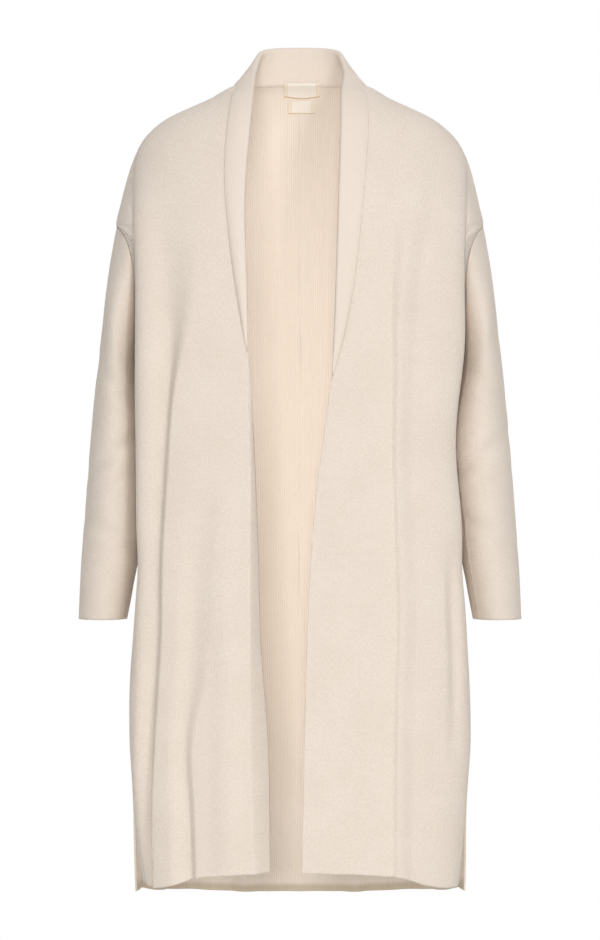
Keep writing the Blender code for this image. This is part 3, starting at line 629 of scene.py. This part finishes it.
# Folds of the fronts, with stations as for the back.
RIGHT_FOLDS = (
    ((0.10, 0.172, 0.0, 0.030, 0.030),
     (0.20, 0.167, 0.0060, 0.044, 0.036),
     (0.26, 0.1640, 0.0100, 0.040, 0.036),
     (0.32, 0.1620, 0.0118, 0.025, 0.036),
     (0.38, 0.1635, 0.0115, 0.013, 0.034),
     (0.49, 0.1710, 0.0105, 0.011, 0.029),
     (0.59, 0.1765, 0.0095, 0.011, 0.024),
     (0.69, 0.1785, 0.0095, 0.011, 0.022),
     (0.78, 0.1845, 0.0105, 0.0115, 0.018),
     (0.88, 0.1905, 0.0120, 0.011, 0.015),
     (1.00, 0.1885, 0.0110, 0.010, 0.014)),
    ((0.50, 0.122, 0.0, 0.026, 0.024),
     (0.62, 0.128, 0.0045, 0.026, 0.024),
     (0.74, 0.134, 0.0055, 0.022, 0.022),
     (0.81, 0.1415, 0.0060, 0.013, 0.022),
     (0.90, 0.1375, 0.0072, 0.011, 0.024),
     (1.00, 0.1340, 0.0085, 0.010, 0.024)),
    ((0.42, 0.092, 0.0, 0.024, 0.024),
     (0.70, 0.090, -0.0030, 0.024, 0.024),
     (1.00, 0.088, -0.0035, 0.024, 0.024)),
)
LEFT_FOLDS = (
    ((0.07, 0.145, 0.0, 0.030, 0.030),
     (0.14, 0.139, -0.0040, 0.026, 0.030),
     (0.20, 0.129, -0.0060, 0.020, 0.028),
     (0.28, 0.1205, -0.0062, 0.011, 0.026),
     (0.37, 0.1180, -0.0054, 0.0064, 0.024),
     (0.46, 0.1165, -0.0050, 0.0054, 0.022),
     (0.555, 0.1195, -0.0048, 0.0054, 0.022),
     (0.66, 0.1220, -0.0048, 0.0056, 0.022),
     (0.76, 0.1195, -0.0048, 0.0056, 0.022),
     (0.87, 0.1180, -0.0050, 0.0056, 0.022),
     (1.00, 0.1180, -0.0056, 0.0060, 0.022)),
    ((0.56, 0.186, 0.0, 0.012, 0.012),
     (0.66, 0.188, 0.0045, 0.013, 0.012),
     (0.72, 0.190, 0.0045, 0.013, 0.012),
     (0.86, 0.187, 0.0, 0.012, 0.012)),
    ((0.60, 0.066, 0.0, 0.024, 0.022),
     (0.80, 0.063, 0.0026, 0.024, 0.022),
     (1.00, 0.060, 0.0034, 0.022, 0.022)),
)


def front_start(side, drop):
    """Distance of a front's inner edge: the neck seam above the break, the free edge below it."""
    lapel = RIGHT_LAPEL if side < 0 else LEFT_LAPEL
    edge = RIGHT_EDGE if side < 0 else LEFT_EDGE
    top = lapel[-1]
    if drop < top[0]:
        return NECK_SIDE_X + (top[1] + top[3] - NECK_SIDE_X) * ease(drop / top[0])
    seam = column(lapel, LAPEL_COLUMNS, "roll", drop) + column(lapel, LAPEL_COLUMNS, "seam_back", drop)
    free = column(edge, EDGE_COLUMNS, "edge", drop)
    return seam + (free - seam) * ease((drop - lapel[0][0]) / BREAK_FADE)


def turned_edge(side):
    """Push of the free edge in behind its ridge, at each distance along a level."""
    edge = RIGHT_EDGE if side < 0 else LEFT_EDGE

    def shape(at, drop):
        """Push at each distance along the level of that drop."""
        low = max(drop, edge[0][0])
        width = column(edge, EDGE_COLUMNS, "ridge", low) - column(edge, EDGE_COLUMNS, "edge", low)
        turned = column(edge, EDGE_COLUMNS, "turned", low) if drop > edge[0][0] else 0.0
        return turned * np.clip(1 - at / width, 0, 1) ** TURN_POWER

    return shape


def front_grid(side, levels, last):
    """Every level of a front from its inner edge to its seam: points, places, distance to the seam."""
    folds = RIGHT_FOLDS if side < 0 else LEFT_FOLDS
    shape = turned_edge(side)
    rows, places, rests = [], [], []
    for drop, turn in levels:
        start = front_start(side, drop)
        px, py, along, rest = half_level(side, -1, drop, turn, start, FRONT_COUNT, folds, shape)
        z = -stretch_to_hem(drop, px, FRONT_HEM, last)
        rows.append(np.stack([side * px, -py, z], -1))
        places.append(np.stack([side * along, z], -1))
        rests.append(rest)
    return np.array(rows), np.array(places), np.array(rests)


levels = body_levels(FRONT_LAST)
for side, node, area in ((-1, "front_right", 0.235), (1, "front_left", 0.255)):
    grid, places, rests = front_grid(side, levels, FRONT_LAST)
    front = shell(node + "_cloth", grid, places, (milled_jersey, ribbed_jersey), (0, -1, 0),
                  marks={"fashioning": seam_marks(levels, rests)})
    worn(front, node)

# THE SLEEVES
# Long tubes with one seam under the arm, sewn to the dropped shoulder and left open at the cuff.
# They hang straight, a little crushed at the elbow.

# Outer and inner side and half depth at each level, down to the cuff.
SLEEVE_COLUMNS = ("drop", "outer", "inner", "depth")
SLEEVE_LEVELS = (
    (0.180, 0.2300, 0.2040, 0.0700),
    (0.220, 0.2369, 0.2040, 0.0710),
    (0.270, 0.2431, 0.2085, 0.0715),
    (0.300, 0.2462, 0.2085, 0.0710),
    (0.350, 0.2520, 0.2055, 0.0700),
    (0.400, 0.2575, 0.2000, 0.0685),
    (0.450, 0.2619, 0.1970, 0.0655),
    (0.500, 0.2660, 0.1975, 0.0620),
    (0.550, 0.2697, 0.1985, 0.0580),
    (0.595, 0.2731, 0.2020, 0.0540),
    (0.620, 0.2745, 0.2070, 0.0520),
    (0.645, 0.2756, 0.2115, 0.0505),
    (0.668, 0.2766, 0.2160, 0.0490),
)
CUFF_DROP = 0.668
RING_OFF = 0.0004      # sleeve off the armhole, outwards and down
RING_FADE = 0.22       # share of the length over which the armhole's form fades
SLEEVE_AROUND = 144
SLEEVE_ROWS = 130
FIRST_ROW = 0.002      # share of the length at which a close first row lies

# Creases: drop, slope, depth and half height. They fade in below the armhole and out at the cuff.
SLEEVE_CREASES = (
    (0.462, -0.9, 0.0040, 0.020),
    (0.500, -0.6, 0.0018, 0.012),
    (0.560, 0.7, 0.0026, 0.018),
    (0.375, 0.8, 0.0026, 0.022),
    (0.330, -0.5, 0.0018, 0.016),
)
CREASE_REACH = 0.028
CREASE_AT_SIDE = 0.10
CREASE_TOP = 0.15
CREASE_FOOT = 0.1
UNEVEN_FADE = 0.2
UNDERARM_SEAM = {-1: 2.95, 1: 2.48}    # turn round each sleeve at which its seam runs
UNDERARM_WIDTH = 0.07
UNDERARM_RIDGE = 0.0008
UNDERARM_FADE = 0.3
DIP_FADE = 0.012
SLEEVE_GIRTH = 0.30


def sleeve_grid(side):
    """Ovals from the armhole ring down to the cuff, the ring's own form fading over the first part."""
    turns = np.linspace(-math.pi, math.pi, SLEEVE_AROUND, endpoint=False)
    top = ring(turns) + RING_OFF * np.array((0.6, 0.0, -0.8))

    def oval(z):
        """Points of the plain oval at each height."""
        drop = -z
        press = side_press(side, drop)
        outer = column(SLEEVE_LEVELS, SLEEVE_COLUMNS, "outer", drop)
        inner = column(SLEEVE_LEVELS, SLEEVE_COLUMNS, "inner", drop) - press
        depth = column(SLEEVE_LEVELS, SLEEVE_COLUMNS, "depth", drop)
        x = (outer + inner) / 2 + (outer - inner) / 2 * np.cos(turns)
        return np.stack([x, -depth * np.sin(turns), z], axis=-1)

    share = np.insert(np.linspace(0, 1, SLEEVE_ROWS), 1, FIRST_ROW)[:, None]
    z = top[:, 2] + (-CUFF_DROP - top[:, 2]) * share
    points = oval(z) + (1 - ease(share / RING_FADE))[..., None] * (top - oval(top[:, 2]))
    push = np.zeros_like(z)
    for drop, slope, depth, half_width in SLEEVE_CREASES:
        line = drop + slope * side * CREASE_REACH * np.cos(turns)
        strength = CREASE_AT_SIDE + (1 - CREASE_AT_SIDE) * np.abs(np.sin(turns))
        push += depth * hump(-z - line, half_width, half_width) * strength
    push *= ease((share - CREASE_TOP) / CREASE_TOP) * ease((1 - share) / CREASE_FOOT)
    soft = np.sin(turns) ** 2 * np.sin(3 * turns + 30 * z) * np.sin(25 * z)
    push += UNEVEN * soft * ease(share / UNEVEN_FADE)
    ridge = hump(turns - UNDERARM_SEAM[side], UNDERARM_WIDTH, UNDERARM_WIDTH)
    push -= UNDERARM_RIDGE * ridge * ease(share / UNDERARM_FADE)
    push += SEAM_DIP * (1 - ease(share / DIP_FADE))
    inward = points.mean(axis=1, keepdims=True) - points
    inward[..., 2] = 0
    points = points + push[..., None] * inward / np.linalg.norm(inward, axis=-1, keepdims=True)
    points[..., 0] *= side
    places = np.stack([np.broadcast_to(turns / (2 * math.pi) * SLEEVE_GIRTH, z.shape), z], -1)
    return points, places


for side, node in ((-1, "sleeve_right"), (1, "sleeve_left")):
    grid, places = sleeve_grid(side)
    rows, columns = grid.shape[:2]
    away = grid[rows // 2, columns // 2] - grid[rows // 2].mean(axis=0)
    sleeve = shell(node + "_cloth", grid, places, (milled_jersey, ribbed_jersey), away, around=True)
    worn(sleeve, node)

# THE COLLAR
# A shawl collar in two halves with a seam at the centre back. It stands up from the neck seam,
# turns over in a soft roll, and its free edge lies on the shoulders and down both fronts, so the
# face that shows is the wrong side of the jersey with its fine lengthwise wales.

# Stations round the back neck: turn from the shoulder in degrees, then the roll and the free edge.
COLLAR_STATIONS = (
    (0.0, 0.0555, 0.0050, 0.0150, 0.0818, 0.0030, -0.0010),
    (22.0, 0.0524, 0.0280, 0.0335, 0.0790, 0.0288, -0.0018),
    (45.0, 0.0478, 0.0460, 0.0462, 0.0655, 0.0515, -0.0024),
    (65.0, 0.0340, 0.0590, 0.0510, 0.0455, 0.0665, -0.0028),
    (80.0, 0.0165, 0.0645, 0.0525, 0.0205, 0.0735, -0.0032),
    (90.0, 0.0000, 0.0655, 0.0528, 0.0000, 0.0745, -0.0032),
)

# From the lapel to the shoulder: share of the way, and drop of the neck seam.
SHOULDER_STATIONS = ((0.35, 0.013), (0.65, 0.007), (0.85, 0.003), (0.93, 0.0))
COLLAR_TURN = 0.0027   # radius of the roll, to the middle of the cloth
LAPEL_LIFT = 0.0007    # free edge off the front, and more of it at the shoulder
SHOULDER_LIFT = 0.0006
SHOULDER_LIFT_DROP = 0.06
TIP_TURN = 0.0007      # the lapel's tip is pressed flat and thins out into the front's edge
TIP_CLOTH = 0.0009
TIP_LENGTH = 0.055
FALL_BULGE = 0.0016    # roundness of the fall between the roll and the free edge
COLLAR_TUCK = 0.0015   # the stand reaches this far down behind the neck edge
EDGE_PRESS = 0.45      # share by which the free edge is pressed thinner, and the width it starts at
PRESS_FROM = 0.9
MIDDLE_OFF = 0.00005   # each half off the middle
COLLAR_ROWS = 200
LAST_ROW = 0.9985      # share of the length at which a close row lies before the centre seam
STAND_STEPS = 10
TURN_STEPS = 11
FALL_STEPS = 16        # points down the fall: even ones to a share of it, then a close one at the edge
FALL_EVEN = 0.96
FALL_CLOSE = 0.985
WALE_LIGHT = "#ecdfd3"
WALE_DARK = "#e1d3c4"
WALE_PITCH_MM = 2.4
LINKING_MM = 2.2       # row of linking stitches just above the neck seam
LINKING_BAND = (0.0022, 0.0044)
LINKING_FADE = 0.0008

# Wrong side of the jersey rolled outwards: wales run the length of the collar.
rolled_jersey, tree, shader, uv = finish_for("rolled-out jersey, lengthwise wales", MATT, WOOL_SHEEN)
wales = wave(tree, uv, WALE_PITCH_MM, "X", 0.4)
fibre = noise(tree, uv, FIBRE_MM, 3.0, 0.65)
stitches = product(tree, wave(tree, uv, LINKING_MM, "Y"), marked(tree, "linking"))
blend = total(tree, ((0.12, wales), (0.88, fibre), (0.5, stitches)))
tone = mixed(tree, ranged(tree, blend, 0.2, 0.8), linear(WALE_DARK), linear(WALE_LIGHT))
tree.links.new(tone, shader.inputs["Base Color"])
bump(tree, shader, total(tree, ((0.16, wales), (1.0, fibre), (2.5, stitches))), 0.0004)


def front_surface(side, drop, x):
    """Depth of a front's outer face at a distance from the middle, above the folds."""
    roll, depth, _seam = level_form(side, -1, drop)
    height = np.clip(1 - (x / roll[0]) ** ARC_POWER, 0, 1) ** (1 / ARC_POWER)
    return roll[1] + (depth - roll[1]) * height


def collar_lines(side):
    """Four lines of stations from the break to the middle of the back.

    They are the neck seam, the roll and the free edge as points, then how proud of its stand the
    roll is, the radius of the turn and the thickness of the cloth.
    """
    lapel = RIGHT_LAPEL if side < 0 else LEFT_LAPEL
    stations = []
    for drop, roll, edge, seam_back in lapel:
        seam = roll + seam_back
        full = ease((lapel[0][0] - drop) / TIP_LENGTH)
        radius = TIP_TURN + (COLLAR_TURN - TIP_TURN) * full
        wall = TIP_CLOTH + (CLOTH - TIP_CLOTH) * full
        proud = radius - wall / 2
        lift = LAPEL_LIFT * full + SHOULDER_LIFT * ease((SHOULDER_LIFT_DROP - drop) / SHOULDER_LIFT_DROP)
        stations.append(((seam, -front_surface(side, drop, seam), -drop),
                         (roll, -front_surface(side, drop, roll) - proud, -drop),
                         (edge, -front_surface(side, drop, edge) - lift - wall / 2, -drop),
                         (proud, radius, wall)))
    last = stations[-1]
    next_roll, next_edge = COLLAR_STATIONS[0][1:4], COLLAR_STATIONS[0][4:7]
    for share, drop in SHOULDER_STATIONS:
        seam = front_start(side, drop)
        stations.append(((seam, -front_surface(side, drop, seam), -drop),
                         tuple(a + (b - a) * share for a, b in zip(last[1], next_roll)),
                         tuple(a + (b - a) * share for a, b in zip(last[2], next_edge)),
                         (last[3][0] * (1 - share), COLLAR_TURN, CLOTH)))
    for turn, *roll_and_edge in COLLAR_STATIONS:
        angle = math.radians(turn)
        across = body("side_x", 0.0) * math.cos(angle) ** (2 / ARC_POWER) if turn < 90 else 0.0
        deep = body("back", 0.0) * math.sin(angle) ** (2 / ARC_POWER)
        rise = NECK_RISE * (1 - (across / body("side_x", 0.0)) ** 2)
        stations.append(((across, deep, rise), tuple(roll_and_edge[:3]), tuple(roll_and_edge[3:]),
                         (0.0, COLLAR_TURN, CLOTH)))
    return np.array(stations).transpose(1, 0, 2)


def collar_grid(side):
    """Hairpin of cloth: up the stand, half round the roll, and down the fall to the free edge.

    Returns its points, their places on the cloth, the thickness of the wall at each, and the
    share of the linking stitches. Rows lie half evenly by station and half by length.
    """
    lines = collar_lines(side)
    keys = np.linspace(0, 1, lines.shape[1])
    lengths = np.append(0, np.cumsum(np.linalg.norm(np.diff(lines[1], axis=0), axis=1)))
    wanted = np.append(np.linspace(0, 1, COLLAR_ROWS)[:-1], (LAST_ROW, 1.0))
    at = 0.5 * wanted + 0.5 * np.interp(wanted, lengths / lengths[-1], keys)
    seam, roll, edge, sizes = (
        np.stack([curve(keys, line[:, i], at) for i in range(3)], -1) for line in lines)
    proud, radius, wall = (np.clip(sizes[:, i], 0, None)[:, None] for i in range(3))
    along = np.gradient(roll, axis=0)
    step = np.linalg.norm(along, axis=1)
    along /= step[:, None]
    rise = roll - seam
    rise[:, 1] += proud[:, 0]
    rise -= (rise * along).sum(axis=1)[:, None] * along
    rise /= np.linalg.norm(rise, axis=1)[:, None]
    out = np.cross(rise, along)
    out *= np.sign(out[-1, 1])
    foot = seam - COLLAR_TUCK * (wall / CLOTH) ** 2 * rise - wall / 2 * out
    middle = roll - radius * rise
    stand = np.linspace(0, 1, STAND_STEPS, endpoint=False)[:, None, None]
    up = foot + (middle - radius * out - foot) * stand
    angle = np.linspace(-math.pi / 2, math.pi / 2, TURN_STEPS)[:, None, None]
    over = middle + radius * (np.cos(angle) * rise + np.sin(angle) * out)
    fall = np.append(np.linspace(0, FALL_EVEN, FALL_STEPS)[1:], (FALL_CLOSE, 1.0))[:, None, None]
    crown = over[-1]
    bulge = FALL_BULGE * (wall / CLOTH) ** 2
    down = crown + (edge - crown) * fall + bulge * np.sin(math.pi * fall) * out
    points = np.concatenate([up, over, down]).transpose(1, 0, 2)
    points[..., 0] = np.maximum(points[..., 0], MIDDLE_OFF)
    points[-1, :, 0] = MIDDLE_OFF
    points[..., 0] *= side
    steps = np.linalg.norm(np.diff(points, axis=1), axis=-1)
    width = np.concatenate([np.zeros((len(points), 1)), np.cumsum(steps, axis=1)], axis=1)
    places = np.stack([width, np.broadcast_to(np.cumsum(step)[:, None], width.shape)], -1)
    near_edge = ease((width / width[:, -1:] - PRESS_FROM) / (1 - PRESS_FROM))
    wall = wall * (1 - EDGE_PRESS * near_edge)
    band = ease((width - LINKING_BAND[0]) / LINKING_FADE) * ease((LINKING_BAND[1] - width) / LINKING_FADE)
    return points, places, wall, band


for side, node in ((-1, "collar_right"), (1, "collar_left")):
    grid, places, wall, band = collar_grid(side)
    collar = shell(node + "_cloth", grid, places, (rolled_jersey,), (0, -0.3, 1), middle=True, thick=wall,
                   marks={"linking": band})
    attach(collar, "root")
    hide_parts(node)

# THE LABELS
# Two woven labels sewn in at the back neck: a wide one with folded ends, and a small one below it.
# Their faces are left bare.

LABEL_FACE = "#f1e9de"
LABEL_ENDS = "#eee2d1"
# painted shadow: ochre for the line under each label's lower edge and beside its folded ends
LABEL_SHADOW = "#cfae7e"

# Middle across, drop of the top, width, height, and how far the lower edge sags in its middle.
LABELS = (
    ("label_main", 0.0025, -0.0030, 0.045, 0.0150, 0.0016),
    ("label_small", 0.0020, 0.0165, 0.034, 0.0120, 0.0),
)
LABEL_CLOTH = 0.0007   # thickness of the ribbon, and how far it lies off the cloth behind it
LABEL_LIFT = 0.0007
LABEL_PROBE = 0.002    # step over which the slope of the cloth behind a label is read
LABEL_ACROSS = 72
LABEL_DOWN = 30
END_FOLD = 0.0038      # width of the ends folded in behind, which raise the ribbon
END_RISE = 0.0006
END_FADE = 0.0008
END_SHADOW = 0.0006      # half width of the painted shadow line beside each folded end, and its strength
END_SHADOW_SHARE = 0.35
SHADOW_FROM = 0.93     # share of the height at which the painted shadow along the lower edge starts, and its softness
SHADOW_FADE = 0.02
LABEL_SHINE = 0.45     # roughness of satin
SATIN_MM = 0.8

# Satin-woven polyester: close shiny floats across the ribbon, drawn coarser than real to show. An
# ochre line of painted shadow lies along the lower edge and beside each folded end.
woven_label, tree, shader, uv = finish_for("satin-woven ribbon", LABEL_SHINE, 0.0)
floats = wave(tree, uv, SATIN_MM, "Y", 0.3)
tone = mixed(tree, marked(tree, "ends"), linear(LABEL_FACE), linear(LABEL_ENDS))
# painted shadow: the edge mark turns the ribbon ochre along its lower edge and beside its ends
tone = mixed(tree, marked(tree, "edge"), tone, linear(LABEL_SHADOW))
tree.links.new(tone, shader.inputs["Base Color"])
bump(tree, shader, floats, 0.00010)


def label_grid(middle, top, width, height, sag):
    """A patch of the back's inner face, lifted off it; its lower edge sags in the middle.

    Also returns how much each point belongs to the folded ends and to the painted shadow along the lower
    edge and beside the ends.
    """
    across = np.linspace(-width / 2, width / 2, LABEL_ACROSS)[None, :]
    share = np.linspace(0, 1, LABEL_DOWN)[:, None]
    x = middle + across + 0 * share
    drop = top + height * share + sag * share * hump(across, width / 2, width / 2)
    level = np.maximum(drop, 0.0)
    depth = body("back", level)
    slope = (body("back", level + LABEL_PROBE) - depth) / LABEL_PROBE
    y = depth * (1 - (np.abs(x) / body("side_x", level)) ** ARC_POWER) ** (1 / ARC_POWER)
    ends = 1 - ease((width / 2 - np.abs(across) - END_FOLD) / END_FADE) + 0 * share
    y = y - (CLOTH + LABEL_LIFT + END_RISE * ends) * np.sqrt(1 + slope ** 2)
    z = -drop + NECK_RISE * (1 - ease(level / NECK_RISE_FADE))
    # painted shadow: a line beside each folded end, and a band along the lower edge
    line = END_SHADOW_SHARE * hump(width / 2 - np.abs(across) - END_FOLD, END_SHADOW, END_SHADOW)
    edge = np.maximum(ease((share - SHADOW_FROM) / SHADOW_FADE), line + 0 * share)
    return np.stack([x, y, z], -1), np.stack([x, drop + 0 * x], -1), ends, edge


for node, middle, top, width, height, sag in LABELS:
    grid, places, ends, edge = label_grid(middle, top, width, height, sag)
    # the edge mark carries the painted shadow
    patch = shell(node + "_ribbon", grid, places, (woven_label,), (0, -1, 0), thick=LABEL_CLOTH,
                  marks={"ends": ends, "edge": edge})
    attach(patch, "root")
    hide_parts(node)

# THE ROOM
# A plain pale floor where a wearer would stand, soft studio light, and a camera in front of the
# garment, level with its middle.

PHOTO_HEIGHT_PX = 940
METRES_PER_PX = 0.00125
CAMERA_BACK = 4.0
CAMERA_HEIGHT = -0.4825
SENSOR = 36.0
FLOOR_PALE = "#f2f1ee"
FLOOR_DROP = 1.45
FLOOR_REACH = 2.3
FLOOR_SIDES = 96
WORLD_FRONT = 0.30     # soft light from all round, weaker from the camera's side
WORLD_BEHIND = 0.80
WORLD_TURN = (-0.3, 0.6)    # y of the direction it comes from, between which it grows

# Lamps: place, width, height and watts. They look at the middle of the garment.
LAMPS = (
    ("key", (1.7, -4.0, 1.0), 1.0, 1.0, 52),
    ("fill", (-0.30, -4.5, -0.1), 1.0, 1.0, 80),
    ("crown", (0.0, -0.9, 2.6), 1.8, 1.8, 16),
    ("rear", (0.8, 4.0, 0.8), 2.0, 2.0, 30),
)
INNER_LAMP = ((0.0, -0.06, -0.47), 0.22, 0.78, 0.29)   # reflector in the empty form, for the back

lens_view = bpy.data.cameras.new("camera")
lens_view.sensor_fit = "AUTO"
lens_view.sensor_width = SENSOR
lens_view.lens = SENSOR * CAMERA_BACK / (PHOTO_HEIGHT_PX * METRES_PER_PX)
lens_view.clip_end = 100
camera = bpy.data.objects.new("camera", lens_view)
camera.location = (0, -CAMERA_BACK, CAMERA_HEIGHT)
camera.rotation_euler = (math.pi / 2, 0, 0)
bpy.context.scene.collection.objects.link(camera)
bpy.context.scene.camera = camera
bpy.context.scene.view_settings.view_transform = "Standard"

floor_paint = bpy.data.materials.new("pale matt floor")
floor_paint.use_nodes = True
shader = floor_paint.node_tree.nodes["Principled BSDF"]
shader.inputs["Base Color"].default_value = linear(FLOOR_PALE)
shader.inputs["Roughness"].default_value = MATT
turns = np.linspace(0, 2 * math.pi, FLOOR_SIDES, endpoint=False)
level = np.full_like(turns, -FLOOR_DROP)
disc = np.stack([FLOOR_REACH * np.cos(turns), FLOOR_REACH * np.sin(turns), level], -1)
floor_mesh = bpy.data.meshes.new("floor")
floor_mesh.from_pydata(disc.tolist(), [], [list(range(len(turns)))])
floor_mesh.materials.append(floor_paint)
floor = bpy.data.objects.new("floor", floor_mesh)
bpy.context.scene.collection.objects.link(floor)

world = bpy.data.worlds.new("studio")
bpy.context.scene.world = world
world.use_nodes = True
tree = world.node_tree
place = add(tree, "ShaderNodeTexCoord")
split = add(tree, "ShaderNodeSeparateXYZ", links={"Vector": place.outputs["Generated"]})
glow = ranged(tree, split.outputs["Y"], *WORLD_TURN, WORLD_FRONT, WORLD_BEHIND)
seen = add(tree, "ShaderNodeLightPath").outputs["Is Camera Ray"]
shown = add(tree, "ShaderNodeMath", links={0: glow, 1: seen}, operation="MAXIMUM").outputs[0]
tree.links.new(shown, tree.nodes["Background"].inputs["Strength"])
tree.nodes["Background"].inputs["Color"].default_value = (1, 1, 1, 1)


def lamp(name, place, width, height, power, aim):
    """A soft rectangular lamp that looks at the aim, and that no camera sees."""
    data = bpy.data.lights.new(name, "AREA")
    data.shape = "RECTANGLE"
    data.size = width
    data.size_y = height
    data.energy = power
    light = bpy.data.objects.new(name, data)
    light.location = place
    way = np.array(aim) - np.array(place)
    way /= np.linalg.norm(way)
    light.rotation_euler = (math.acos(-way[2]), 0, math.atan2(way[1], way[0]) - math.pi / 2)
    light.visible_camera = False
    bpy.context.scene.collection.objects.link(light)


for name, place, width, height, power in LAMPS:
    lamp(name, place, width, height, power, (0, 0, CAMERA_HEIGHT))
place, width, height, power = INNER_LAMP
lamp("inner", place, width, height, power, (place[0], 1.0, place[2]))
